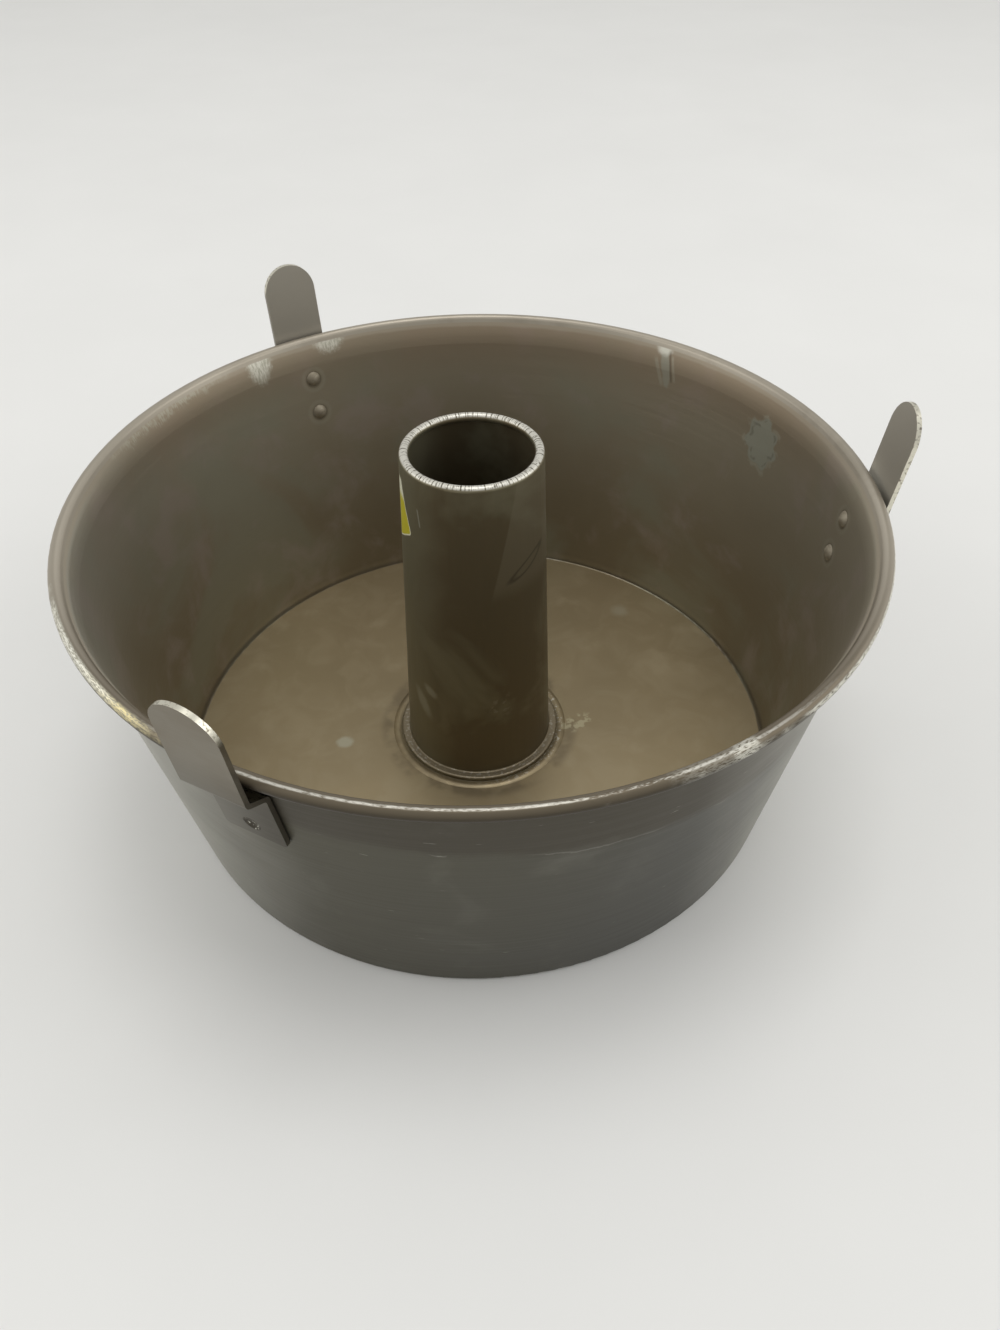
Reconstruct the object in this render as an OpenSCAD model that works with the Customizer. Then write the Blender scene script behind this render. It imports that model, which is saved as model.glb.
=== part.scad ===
// Two-piece angel food cake pan: a tapered shell on three riveted feet,
// with a lift-out floor that carries the centre tube.
// Millimetres, +Z up. The origin is on the pan's axis, at the face it stands on.

/* [Shell] */
// Diameter of the wall's outside line where it would meet the table
base_d = 216.6; // [180:0.1:240]
// Diameter of the wall's outside line at the height of the bead's centre
mouth_d = 249.2; // [244:0.1:262]
// Height of the pan, from the table to the top of the bead
pan_h = 107.4; // [95:0.1:125]
// Thickness of the shell's sheet
shell_sheet = 1; // [0.9:0.1:1.2]
// Diameter of the rolled bead round the rim
bead_d = 4; // [3.4:0.1:5]
// How far the bead's centre stands out from the wall's outside line
bead_out = 2.4; // [2:0.1:3.4]
// Steepness of the flare where it runs into the bead, from the vertical
flare_angle = 27; // [22:1:34]
// How far round the bead is rolled, from the inside over the top and under
bead_turn = 285; // [240:5:290]
// Outside radius of the corner at the foot of the wall
corner_r = 2; // [1.6:0.1:4]
// Width of the ledge that carries the floor
ledge_w = 8; // [5:0.5:14]

/* [Floor] */
// Thickness of the floor's sheet
floor_sheet = 1.2; // [0.8:0.1:1.6]
// Height of the raised ring pressed round the tube
ring_rise = 0.5; // [0.3:0.1:1.4]
// Width of the raised ring, seen from above
ring_w = 3.2; // [2.8:0.1:6]

/* [Centre tube] */
// Outside diameter of the tube just under its top
tube_top_d = 44.8; // [38:0.1:48]
// Outside diameter of the tube where it meets the floor
tube_base_d = 53; // [50:0.1:60]
// How far the tube stands up above the pan's rim
tube_rise = 16.3; // [6:0.1:24]
// Thickness of the tube's sheet
tube_sheet = 0.8; // [0.6:0.1:0.9]
// Diameter of the bead rolled inwards at the tube's top
curl_d = 3; // [2.8:0.1:4]
// How far round that bead is rolled, from the outside over the top and under
curl_turn = 260; // [220:5:270]
// Middle radius of the bend where the tube turns out on to the floor
tube_bend = 1; // [0.6:0.1:1.6]
// Width of the folded collar that clamps the tube on top of the floor
fold_w = 3.1; // [3:0.1:4]
// Width of the flange that holds the tube from below the floor
flange_w = 3; // [2:0.1:4]

/* [Feet] */
// Width of a foot
foot_w = 19.8; // [14:0.1:24]
// Thickness of a foot's sheet
foot_sheet = 1.5; // [1:0.1:2]
// How far a foot stands up above the pan's rim
foot_rise = 26.2; // [20:0.1:40]
// How far below the start of the flare a foot turns out
step_drop = 1.2; // [0.5:0.1:4]
// How far a foot rises while it steps out past the bead
step_rise = 4; // [3:0.1:5]
// Middle radius of a foot's two bends
step_bend = 2; // [1.6:0.1:2.4]
// Clear space between a foot and the bead
foot_clear = 1.4; // [0.8:0.1:3]
// Lean of a foot's upper end, outwards from the vertical
foot_lean = 6.7; // [2:0.1:9]
// Radius of a foot's two lower corners
plate_corner = 1.5; // [0.5:0.1:4]

/* [Rivets] */
// Distance from a foot's step down to its upper rivet
rivet_drop = 3.9; // [3.9:0.1:6]
// Distance from the upper rivet down to the lower one
rivet_pitch = 13.5; // [8:0.1:18]
// Distance from the lower rivet down to the foot's lower end
rivet_edge = 6; // [4:0.1:8]
// Diameter of a rivet's shank
rivet_d = 3; // [2:0.1:3.4]
// Diameter of the domed head inside the pan
dome_d = 5.6; // [4.6:0.1:6]
// Height of the domed head
dome_h = 1.5; // [0.8:0.1:2]
// Diameter of the spread end, set flush in the foot
set_d = 5.6; // [4.6:0.1:5.8]
// Depth of the spread end
set_depth = 0.9; // [0.7:0.05:1]
// Depth of the dish punched into the spread end
dish_depth = 0.6; // [0.3:0.05:0.6]

/* [Fits] */
// Gap all round between pieces that lie on each other
seat_gap = 0.05; // [0.02:0.01:0.1]
// Radial room round a rivet's shank
shank_gap = 0.05; // [0.02:0.01:0.1]
// Radial room between the floor's edge and the start of the shell's corner
floor_room = 0.2; // [0.1:0.1:0.5]
// Radial room between the tube's neck and the floor's hole
neck_gap = 0.1; // [0.05:0.05:0.2]

/* [Hidden] */
$fn = 144;

// Segments on the small rounds
small_fn = 48;
// Radius from which a round counts as large
large_r = 10;
// Widest step, in degrees, of the fan that cuts a bend out of a ring
fan_step = 30;
// How far a bend runs on into the straight sheet beside it, so that they are one
lap = 0.02;
// Width of the flat rim left round a rivet's dish
dish_rim = 0.4;
// How far a cutting shape runs on past what it cuts
past = 5;

aluminium_outside = [0.56, 0.55, 0.53];
aluminium_inside = [0.47, 0.44, 0.38];
aluminium_tube = [0.40, 0.37, 0.32];
aluminium_foot = [0.60, 0.58, 0.54];
rivet_metal = [0.66, 0.64, 0.60];

// Wall: its outside line leans out by wall_angle from the vertical
bead_r = bead_d / 2;
bead_z = pan_h - bead_r;
wall_angle = atan((mouth_d - base_d) / 2 / bead_z);
function wall_r(z) = base_d / 2 + z * tan(wall_angle);
function wall_mid_r(z) = wall_r(z) - shell_sheet / 2 / cos(wall_angle);

// Bead: a ring rolled about bead_centre
bead_mid = bead_r - shell_sheet / 2;
bead_centre = [mouth_d / 2 + bead_out, bead_z];
rim_r = bead_centre[0] + bead_r;

// Flare: an arc that leaves the wall's middle line and meets the bead's
flare_end = bead_centre + bead_mid * [-cos(flare_angle), sin(flare_angle)];
flare_gap = flare_end[0] - wall_mid_r(flare_end[1]);
flare_turn = cos(wall_angle) - cos(flare_angle)
    - tan(wall_angle) * (sin(flare_angle) - sin(wall_angle));
flare_r = flare_gap / flare_turn;
flare_centre = flare_end + flare_r * [cos(flare_angle), -sin(flare_angle)];
flare_start = flare_centre + flare_r * [-cos(wall_angle), sin(wall_angle)];

// Corner: a quarter bend, less the wall's lean, between ledge and wall
corner_mid = corner_r - shell_sheet / 2;
corner_top_z = corner_r - corner_mid * sin(wall_angle);
corner_centre = [wall_mid_r(corner_top_z) - corner_mid * cos(wall_angle), corner_r];
corner_top = [wall_mid_r(corner_top_z), corner_top_z];

// Floor: it lies on the ledge, inside the corner
floor_r = corner_centre[0] - floor_room;
ledge_in = floor_r - ledge_w;
floor_z = shell_sheet + seat_gap;
floor_top = floor_z + floor_sheet;

// Tube: its outside line leans in going up, and runs into the curl
tube_h = pan_h + tube_rise;
fold_z = floor_top + seat_gap;
fold_top = fold_z + 2 * tube_sheet;
fold_r = tube_base_d / 2 + fold_w;
fold_mid_z = fold_top - tube_sheet / 2;
tube_angle = atan((tube_base_d - tube_top_d) / 2 / (tube_h - fold_top));
function tube_mid_r(z) = tube_base_d / 2 - (z - fold_top) * tan(tube_angle)
    - tube_sheet / 2 / cos(tube_angle);
curl_mid = (curl_d - tube_sheet) / 2;
curl_z = tube_h - curl_d / 2;
curl_centre = [tube_mid_r(curl_z) - curl_mid / cos(tube_angle), curl_z];
curl_start = curl_centre + curl_mid * [cos(tube_angle), sin(tube_angle)];
neck_r = tube_base_d / 2 - tube_sheet;
hole_r = neck_r + neck_gap;
flange_z = floor_z - seat_gap - tube_sheet;
ring_in = fold_r + seat_gap;

// Foot: its heights, from the start of the flare down to the plate's lower end
foot_top = pan_h + foot_rise;
step_low = flare_start[1] - step_drop;
step_high = step_low + step_rise;
rivet_high = step_low - rivet_drop;
rivet_low = rivet_high - rivet_pitch;
plate_bottom = rivet_low - rivet_edge;

// Foot: middle line of its strip, in a plane through the pan's axis
function plate_mid_r(z) = wall_r(z) + (foot_sheet / 2 + seat_gap) / cos(wall_angle);
function tab_mid_r(z) = rim_r + foot_clear + foot_sheet / 2 / cos(foot_lean)
    + (z - bead_z) * tan(foot_lean);
foot_path = [
    [plate_mid_r(plate_bottom - past), plate_bottom - past],
    [plate_mid_r(step_low), step_low],
    [tab_mid_r(step_high), step_high],
    [tab_mid_r(foot_top + past), foot_top + past]
];
foot_turns = [0, 120, 240];
set_x = seat_gap + foot_sheet;

// Straight run of sheet between two points of its middle line
module flat_run(from, to, sheet) {
    run = to - from;
    translate(from)
        rotate(atan2(run[1], run[0]))
            translate([0, -sheet / 2])
                square([norm(run), sheet]);
}

// Bend of sheet: the part of a ring between two angles, with a lap at each end
module bend_run(centre, mid_r, from, to, sheet) {
    lap_angle = lap / mid_r * 180 / PI;
    start = from - lap_angle;
    turn = to - from + 2 * lap_angle;
    steps = ceil(turn / fan_step);
    reach = 2 * (mid_r + sheet);
    translate(centre)
        intersection() {
            difference() {
                circle(r = mid_r + sheet / 2, $fn = mid_r > large_r ? $fn : small_fn);
                circle(r = mid_r - sheet / 2, $fn = mid_r > large_r ? $fn : small_fn);
            }
            polygon([
                [0, 0],
                for (k = [0:steps])
                    let (a = start + turn * k / steps)
                        reach * [cos(a), sin(a)]
            ]);
        }
}

// Length of the straight run that a bend takes from each side of a corner
function bend_cut(before, corner, after, bend_r) =
    let (
        u = (before - corner) / norm(before - corner),
        v = (after - corner) / norm(after - corner)
    )
    bend_r / tan(acos(u * v) / 2);

// Sheet bent along a path of three or more points, with one radius for its bends
module bent_strip(path, bend_r, sheet) {
    last = len(path) - 1;
    cuts = [
        for (k = [0:last])
            (k == 0 || k == last) ? 0 : bend_cut(path[k - 1], path[k], path[k + 1], bend_r)
    ];
    for (k = [1:last]) {
        along = (path[k] - path[k - 1]) / norm(path[k] - path[k - 1]);
        flat_run(path[k - 1] + cuts[k - 1] * along, path[k] - cuts[k] * along, sheet);
    }
    for (k = [1:last - 1]) {
        u = (path[k - 1] - path[k]) / norm(path[k - 1] - path[k]);
        v = (path[k + 1] - path[k]) / norm(path[k + 1] - path[k]);
        middle = (u + v) / norm(u + v);
        centre = path[k] + middle * norm([bend_r, cuts[k]]);
        facing = atan2(-middle[1], -middle[0]);
        half = 90 - acos(u * v) / 2;
        bend_run(centre, bend_r, facing - half, facing + half, sheet);
    }
}

// Places a piece at a rivet: +X points out along the wall's own square direction
module at_rivet(z) {
    translate([wall_r(z), 0, z])
        rotate([0, wall_angle, 0])
            children();
}

// Round bar along a rivet's axis, between two distances out from the wall's face
module rivet_bar(radius, from, to) {
    translate([from, 0, 0])
        rotate([0, 90, 0])
            cylinder(r = radius, h = to - from, $fn = small_fn);
}

// Cone that spreads a shank out to its set end, flush with the foot's outer face
module rivet_spread(room) {
    translate([set_x - set_depth, 0, 0])
        rotate([0, 90, 0])
            cylinder(r1 = rivet_d / 2 + room, r2 = set_d / 2 + room, h = set_depth, $fn = small_fn);
}

// Both rivet holes of one foot, cut through whatever is there
module rivet_holes() {
    for (z = [rivet_low, rivet_high])
        at_rivet(z) {
            rivet_bar(rivet_d / 2 + shank_gap, -past, set_x);
            rivet_spread(shank_gap);
            rivet_bar(set_d / 2 + shank_gap, set_x, set_x + foot_sheet);
        }
}

// Radius of the ball that a cap of this width and height is cut from
function cap_ball(width, height) = (pow(width / 2, 2) + pow(height, 2)) / (2 * height);

// Shell: ledge, corner, wall, flare and bead, all one sheet
module pan_shell() {
    color(aluminium_outside)
        difference() {
            rotate_extrude() {
                flat_run([ledge_in, shell_sheet / 2], [corner_centre[0], shell_sheet / 2], shell_sheet);
                bend_run(corner_centre, corner_mid, -90, -wall_angle, shell_sheet);
                flat_run(corner_top, flare_start, shell_sheet);
                bend_run(flare_centre, flare_r, 180 - flare_angle, 180 - wall_angle, shell_sheet);
                bend_run(bead_centre, bead_mid, 180 - flare_angle - bead_turn, 180 - flare_angle,
                    shell_sheet);
            }
            for (turn = foot_turns)
                rotate(turn)
                    rivet_holes();
        }
}

// Floor: a flat disc, with a hole for the tube's neck and a ring pressed up round it
module floor_disc() {
    over_r = cap_ball(ring_w, ring_rise);
    under_r = over_r - floor_sheet;
    half_turn = asin(ring_w / 2 / over_r);
    centre = [ring_in + ring_w / 2, floor_top + ring_rise - over_r];
    color(aluminium_inside)
        rotate_extrude() {
            difference() {
                translate([hole_r, floor_z])
                    square([floor_r - hole_r, floor_sheet]);
                translate(centre)
                    circle(r = under_r, $fn = small_fn);
            }
            bend_run(centre, under_r + floor_sheet / 2, 90 - half_turn, 90 + half_turn, floor_sheet);
        }
}

// Tube: curl, tapered wall, collar folded on the floor, neck and flange under it
module centre_tube() {
    fold_end = fold_r - tube_sheet;
    color(aluminium_tube)
        rotate_extrude() {
            bend_run(curl_centre, curl_mid, tube_angle, tube_angle + curl_turn, tube_sheet);
            bent_strip([curl_start, [tube_mid_r(fold_mid_z), fold_mid_z], [fold_end, fold_mid_z]],
                tube_bend, tube_sheet);
            translate([neck_r - tube_sheet, fold_z])
                square([fold_end - neck_r + tube_sheet, tube_sheet]);
            translate([fold_end, fold_z + tube_sheet])
                circle(r = tube_sheet, $fn = small_fn);
            translate([neck_r - tube_sheet, flange_z])
                square([tube_sheet, fold_z - flange_z + tube_sheet]);
            translate([neck_r - tube_sheet, flange_z])
                square([flange_w + tube_sheet, tube_sheet]);
        }
}

// Outline of a foot seen from outside: round above, with small corners below
module foot_outline() {
    half = foot_w / 2;
    translate([0, foot_top - half])
        circle(r = half);
    translate([-half, plate_bottom + plate_corner])
        square([foot_w, foot_top - half - plate_bottom - plate_corner]);
    for (side = [-1, 1])
        translate([side * (half - plate_corner), plate_bottom + plate_corner])
            circle(r = plate_corner, $fn = small_fn);
    translate([plate_corner - half, plate_bottom])
        square([foot_w - 2 * plate_corner, 2 * plate_corner]);
}

// Foot, drawn as the one on +X: a strip stepped out past the bead, cut to its outline
module foot() {
    color(aluminium_foot)
        difference() {
            intersection() {
                rotate([90, 0, 0])
                    linear_extrude(foot_w + past, center = true)
                        bent_strip(foot_path, step_bend, foot_sheet);
                rotate([90, 0, 90])
                    linear_extrude(tab_mid_r(foot_top) + past)
                        foot_outline();
            }
            rivet_holes();
        }
}

// Rivet of the foot on +X: domed head inside, shank, and a dished end set in the foot
module rivet(z) {
    head_x = -shell_sheet - seat_gap;
    dome_ball = cap_ball(dome_d, dome_h);
    dish_ball = cap_ball(set_d - 2 * dish_rim, dish_depth);
    color(rivet_metal)
        at_rivet(z) {
            intersection() {
                translate([head_x - dome_h + dome_ball, 0, 0])
                    sphere(r = dome_ball, $fn = small_fn);
                rivet_bar(dome_d, head_x - dome_h, head_x);
            }
            difference() {
                union() {
                    rivet_bar(rivet_d / 2, head_x, set_x - set_depth);
                    rivet_spread(0);
                }
                translate([set_x - dish_depth + dish_ball, 0, 0])
                    sphere(r = dish_ball, $fn = small_fn);
            }
        }
}

pan_shell();
floor_disc();
centre_tube();
foot();  // right_foot
rotate(foot_turns[1]) foot();  // back_left_foot
rotate(foot_turns[2]) foot();  // front_left_foot
rivet(rivet_high);  // right_foot_upper_rivet
rivet(rivet_low);  // right_foot_lower_rivet
rotate(foot_turns[1]) rivet(rivet_high);  // back_left_foot_upper_rivet
rotate(foot_turns[1]) rivet(rivet_low);  // back_left_foot_lower_rivet
rotate(foot_turns[2]) rivet(rivet_high);  // front_left_foot_upper_rivet
rotate(foot_turns[2]) rivet(rivet_low);  // front_left_foot_lower_rivet
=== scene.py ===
# %% [markdown]
# An old angel food cake pan.
# The pan has two pieces of spun aluminium: a tapered shell that stands on the table, and a floor
# with a tall tube in its middle that lifts out with the cake. Three feet are riveted to the shell,
# so that the pan can cool upside down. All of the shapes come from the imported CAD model. This
# script adds what the model lacks: the camera, the light, and long years of baking and washing.

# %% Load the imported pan
import math

import bmesh
import bpy
from mathutils import Matrix, Vector


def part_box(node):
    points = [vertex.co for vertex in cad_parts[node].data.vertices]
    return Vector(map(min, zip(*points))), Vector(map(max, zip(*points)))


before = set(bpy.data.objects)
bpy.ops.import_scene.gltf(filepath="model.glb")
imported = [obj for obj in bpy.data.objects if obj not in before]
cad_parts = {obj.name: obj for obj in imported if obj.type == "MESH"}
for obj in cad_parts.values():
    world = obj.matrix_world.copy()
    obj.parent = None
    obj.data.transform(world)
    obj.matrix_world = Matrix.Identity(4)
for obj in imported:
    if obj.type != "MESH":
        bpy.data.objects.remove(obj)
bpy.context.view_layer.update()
print("nodes:", ", ".join(sorted(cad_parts)))

# %% Sizes that the finishes need
# The imported model gives where each node ends. The radius of the rolled bead is the CAD model's own.
MM = 0.001
BEAD_R = 2.0


def reach(node):
    """How far a node reaches from the axis, and how high, in millimetres."""
    _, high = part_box(node)
    return high.x / MM, high.z / MM


RIM_R, PAN_H = reach("pan_shell")
TUBE_R, TUBE_H = reach("centre_tube")
_, TAB_TOP = reach("right_foot")
BEAD_MIDDLE_R = RIM_R - BEAD_R
BEAD_MIDDLE_H = PAN_H - BEAD_R
print(f"rim radius {RIM_R:.1f} mm, height {PAN_H:.1f} mm, tube {TUBE_H:.1f} mm, feet {TAB_TOP:.1f} mm")

# %% [markdown]
# The camera.
# A camera is its place, its aim and its lens. The place here is a distance from the origin, a
# height angle, and a small turn about the pan. The aim starts at the origin and then turns a little,
# because the photograph is not aimed exactly there. The lens is given by the focal length in
# pixels, because that is what can be measured from circles seen at an angle.

# %% Place and aim the camera
PICTURE_HEIGHT = 1330
FOCAL_PIXELS = 1049.7
EYE_DISTANCE = 0.4060
EYE_ELEVATION = math.radians(46.675)
EYE_TURN = math.radians(-0.6)
AIM_RIGHT = math.radians(-1.206)
AIM_UP = math.radians(3.309)
AIM_ROLL = math.radians(1.743)


def aimed_camera():
    """A camera at the photograph's viewing angle."""
    data = bpy.data.cameras.new("camera")
    data.sensor_fit = "AUTO"
    data.lens = data.sensor_width * FOCAL_PIXELS / PICTURE_HEIGHT
    turn = Matrix.Rotation(EYE_TURN, 3, "Z")
    flat = EYE_DISTANCE * math.cos(EYE_ELEVATION)
    eye = turn @ Vector((0, -flat, EYE_DISTANCE * math.sin(EYE_ELEVATION)))
    forward = -eye.normalized()
    right = turn @ Vector((1, 0, 0))
    up = right.cross(forward)
    sideways = Matrix.Rotation(AIM_RIGHT, 3, up)
    forward, right = sideways @ forward, sideways @ right
    tilt = Matrix.Rotation(AIM_UP, 3, right)
    forward, up = tilt @ forward, tilt @ up
    roll = Matrix.Rotation(AIM_ROLL, 3, forward)
    right, up = roll @ right, roll @ up
    camera = bpy.data.objects.new("camera", data)
    axes = Matrix((right, up, -forward)).transposed()
    camera.matrix_world = Matrix.Translation(eye) @ axes.to_4x4()
    bpy.context.scene.collection.objects.link(camera)
    bpy.context.scene.camera = camera
    return camera


camera = aimed_camera()
bpy.context.scene.view_settings.view_transform = "Standard"
print("camera at", [round(x, 4) for x in camera.location], "lens", round(camera.data.lens, 2))

# %% [markdown]
# Painting with nodes.
# A finish is a small network of nodes: some measure where a point is, some make a pattern, and
# some mix colours. Written out in full that is long, so a finish here is an object with short
# words for the steps that are used over and over. Lengths inside a finish are in millimetres,
# which makes the size of a scratch or a stain easy to judge.
# The object is built up in five cells: arithmetic, places, mixing, patterns, and marks that have a
# place and a shape. A mark is a number from 0 to 1 at every point, and that number is how much of
# the mark's shade is laid over the colour. All of it reads the place on the piece itself, so the
# paint stays where it is when the piece moves or the camera goes round.
# How a point faces is told by numbers from -1 to 1: nz is 1 where it faces up, ny is -1 where it
# faces the front, and outward is 1 where it faces away from the axis.
# Two numbers in brackets are mostly where a soft step starts and ends. A patch on a wall is an
# azimuth in degrees, a height, and its half width and half height. Noise runs from 0 to 1 but stays
# near its middle, so a soft step from 0.45 to 0.6 turns it into clouds with clear edges.

# %% Colours as they are seen, and how a socket is fed
def linear(part):
    """The strength of the light for one part of a screen's colour, by the standard curve."""
    return part / 12.92 if part <= 0.04045 else ((part + 0.055) / 1.055) ** 2.4


def seen(red, green, blue):
    """The linear colour of a shade given as it is seen on a screen, each part from 0 to 255."""
    return linear(red / 255), linear(green / 255), linear(blue / 255), 1.0


def feed(socket, value):
    """Gives a socket another node's output, or a plain value."""
    if isinstance(value, bpy.types.NodeSocket):
        socket.id_data.links.new(value, socket)
    else:
        socket.default_value = value


print("a middle grey as seen is", round(seen(128, 128, 128)[0], 3), "as light")

# %% Nodes and arithmetic
class Network:
    """One material's network of nodes."""

    def __init__(self, name):
        self.material = bpy.data.materials.new(name)
        self.material.use_nodes = True
        self.tree = self.material.node_tree
        self.shader = self.tree.nodes["Principled BSDF"]

    def node(self, kind, **settings):
        """A new node of a kind, with its settings."""
        made = self.tree.nodes.new(kind)
        for name, value in settings.items():
            setattr(made, name, value)
        return made

    def parts(self, vector):
        """The three numbers in a vector."""
        split = self.node("ShaderNodeSeparateXYZ")
        feed(split.inputs[0], vector)
        return split.outputs[0], split.outputs[1], split.outputs[2]

    def sum(self, operation, a, b=0.0, c=0.0):
        """One step of arithmetic."""
        made = self.node("ShaderNodeMath", operation=operation)
        for socket, value in zip(made.inputs, (a, b, c)):
            feed(socket, value)
        return made.outputs[0]

    def add(self, a, b):
        return self.sum("ADD", a, b)

    def less(self, a, b):
        return self.sum("SUBTRACT", a, b)

    def times(self, a, b):
        return self.sum("MULTIPLY", a, b)

    def either(self, a, b):
        return self.sum("MAXIMUM", a, b)

    def from_zero(self, a):
        """How far a number is from 0, either way."""
        return self.sum("ABSOLUTE", a)


# %% Where a point is, and which way it faces
class Places(Network):
    """Adds the place of each point in millimetres, its turn about the axis, and how it faces."""

    def __init__(self, name):
        super().__init__(name)
        spot = self.node("ShaderNodeTexCoord")
        scaled = self.node("ShaderNodeVectorMath", operation="SCALE")
        feed(scaled.inputs[0], spot.outputs["Object"])
        scaled.inputs["Scale"].default_value = 1 / MM
        self.place = scaled.outputs[0]
        self.x, self.y, self.z = self.parts(self.place)
        self.nx, self.ny, self.nz = self.parts(spot.outputs["Normal"])
        flat = self.add(self.times(self.x, self.x), self.times(self.y, self.y))
        self.radius = self.sum("SQRT", flat)
        facing = self.add(self.times(self.x, self.nx), self.times(self.y, self.ny))
        self.outward = self.sum("DIVIDE", facing, self.radius)
        self.angle = self.sum("ARCTAN2", self.y, self.x)


# %% Soft steps, mixing, and the join to the shader
METAL = 0.75


class Mixing(Places):
    """Adds soft steps, the mixing of colours, and bumps."""

    def step(self, value, start, end):
        """Rises smoothly from 0 at start to 1 at end; start may be the larger."""
        made = self.node("ShaderNodeMapRange", interpolation_type="SMOOTHSTEP")
        for socket, given in zip(made.inputs, (value, start, end)):
            feed(socket, given)
        return made.outputs[0]

    def band(self, value, low, high, soft):
        """1 between two values, falling to 0 over a soft edge on both sides."""
        above = self.step(value, low - soft, low + soft)
        below = self.step(value, high + soft, high - soft)
        return self.times(above, below)

    def scale(self, value, low, high):
        """Turns a value from 0 to 1 into one from low to high."""
        return self.sum("MULTIPLY_ADD", value, high - low, low)

    def wander(self, value, pattern, by):
        """A value that a pattern pushes up and down, by as much as this either way."""
        return self.add(value, self.scale(pattern, -by, by))

    def mix(self, share, first, second):
        """The first colour where the share is 0, and the second where it is 1."""
        made = self.node("ShaderNodeMix", data_type="RGBA")
        sockets = (made.inputs[0], made.inputs[6], made.inputs[7])
        for socket, given in zip(sockets, (share, first, second)):
            feed(socket, given)
        return made.outputs[2]

    def tint(self, colour, shade, mark, share):
        """Lays a share of a shade over a colour, where a mark is."""
        return self.mix(self.times(mark, share), colour, shade)

    def relief(self, height, depth):
        """Bumps whose height from 0 to 1 stands for a depth in millimetres."""
        made = self.node("ShaderNodeBump")
        made.inputs["Strength"].default_value = 1.0
        made.inputs["Distance"].default_value = depth * MM
        feed(made.inputs["Height"], height)
        return made.outputs[0]

    def finish(self, colour, roughness, normal, metal=METAL):
        """Joins the network to the shader, and gives back the material."""
        feed(self.shader.inputs["Base Color"], colour)
        feed(self.shader.inputs["Roughness"], roughness)
        feed(self.shader.inputs["Metallic"], metal)
        feed(self.shader.inputs["Normal"], normal)
        print(self.material.name, "has", len(self.tree.nodes), "nodes")
        return self.material


# %% Patterns
class Patterns(Mixing):
    """Adds noise of several kinds, with its size in millimetres."""

    def turned(self, radius):
        """A place for patterns that follow a round wall: length round it, radius and height."""
        made = self.node("ShaderNodeCombineXYZ")
        for socket, value in zip(made.inputs, (self.times(self.angle, radius), self.radius, self.z)):
            feed(socket, value)
        return made.outputs[0]

    def stretched(self, size, seed, place=None):
        """The place, divided by the size of a pattern along each axis, and moved by a seed."""
        mapping = self.node("ShaderNodeMapping")
        feed(mapping.inputs["Vector"], place or self.place)
        mapping.inputs["Scale"].default_value = tuple(1 / s for s in size)
        mapping.inputs["Location"].default_value = (seed, seed * 0.7, seed * 0.3)
        return mapping.outputs[0]

    def noise(self, size, seed=0.0, detail=3.0, rough=0.55, warp=0.0, place=None):
        """Cloudy noise from 0 to 1. Its size in millimetres is one number, or one for each axis."""
        size = size if isinstance(size, tuple) else (size, size, size)
        made = self.node("ShaderNodeTexNoise")
        feed(made.inputs["Vector"], self.stretched(size, seed, place))
        made.inputs["Scale"].default_value = 1.0
        made.inputs["Detail"].default_value = detail
        made.inputs["Roughness"].default_value = rough
        made.inputs["Distortion"].default_value = warp
        return made.outputs["Fac"]

    def rings(self, along, size, seed=0.0, detail=2.0):
        """Noise that changes along one number only, as the turning marks of a lathe do."""
        made = self.node("ShaderNodeTexNoise", noise_dimensions="1D")
        feed(made.inputs["W"], self.sum("MULTIPLY_ADD", along, 1 / size, seed))
        made.inputs["Scale"].default_value = 1.0
        made.inputs["Detail"].default_value = detail
        return made.outputs["Fac"]

    def crumbs(self):
        """Fine pale grains of dried sugar, as they stick on the floor and on the tube's collar."""
        return self.step(self.noise(1.2, seed=17.0, detail=2.0), 0.54, 0.64)


# %% Marks with a place and a shape
class Finish(Patterns):
    """Adds ovals and strokes, on a wall or on a flat face, which is all that a finish needs."""

    def across(self, azimuth):
        """Distance sideways from the upright line at an azimuth, and 1 on that side of the pan."""
        turn = math.radians(azimuth)
        sideways = self.less(self.times(self.y, math.cos(turn)), self.times(self.x, math.sin(turn)))
        ahead = self.add(self.times(self.x, math.cos(turn)), self.times(self.y, math.sin(turn)))
        return sideways, self.step(ahead, 0.0, 1.0)

    def away(self, u, v, at, half, slant=0.0):
        """Distance from a point on two lengths u and v, counted in the half sizes of an oval."""
        rise = self.less(v, at[1])
        side = self.less(self.less(u, at[0]), self.times(rise, slant))
        wide = self.times(side, 1 / half[0])
        high = self.times(rise, 1 / half[1])
        return self.sum("SQRT", self.add(self.times(wide, wide), self.times(high, high)))

    def oval(self, u, v, at, half, slant=0.0, soft=0.35, ragged=0.3, grain=3.0):
        """An oval mark with a soft and ragged edge; slant leans its far end sideways."""
        distance = self.away(u, v, at, half, slant)
        distance = self.wander(distance, self.noise(grain, seed=at[0] + at[1]), ragged)
        return self.step(distance, 1 + soft, 1 - soft)

    def patch(self, azimuth, height, half, **edge):
        """An oval mark on a standing wall."""
        sideways, side = self.across(azimuth)
        return self.times(side, self.oval(sideways, self.z, (0.0, height), half, **edge))

    def stroke(self, u, v, start, end, width):
        """A straight scratch between two points on the lengths u and v."""
        run = (end[0] - start[0], end[1] - start[1])
        length = math.hypot(*run)
        ahead, aside = run[0] / length, run[1] / length
        from_u, from_v = self.less(u, start[0]), self.less(v, start[1])
        along = self.add(self.times(from_u, ahead), self.times(from_v, aside))
        beside = self.less(self.times(from_u, aside), self.times(from_v, ahead))
        near = self.step(self.from_zero(beside), width * 0.8, width * 0.3)
        return self.times(near, self.band(along, 0.0, length, width))


words = [word for word in dir(Finish) if not word.startswith("_")]
print("a finish knows these words:", ", ".join(words))


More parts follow.
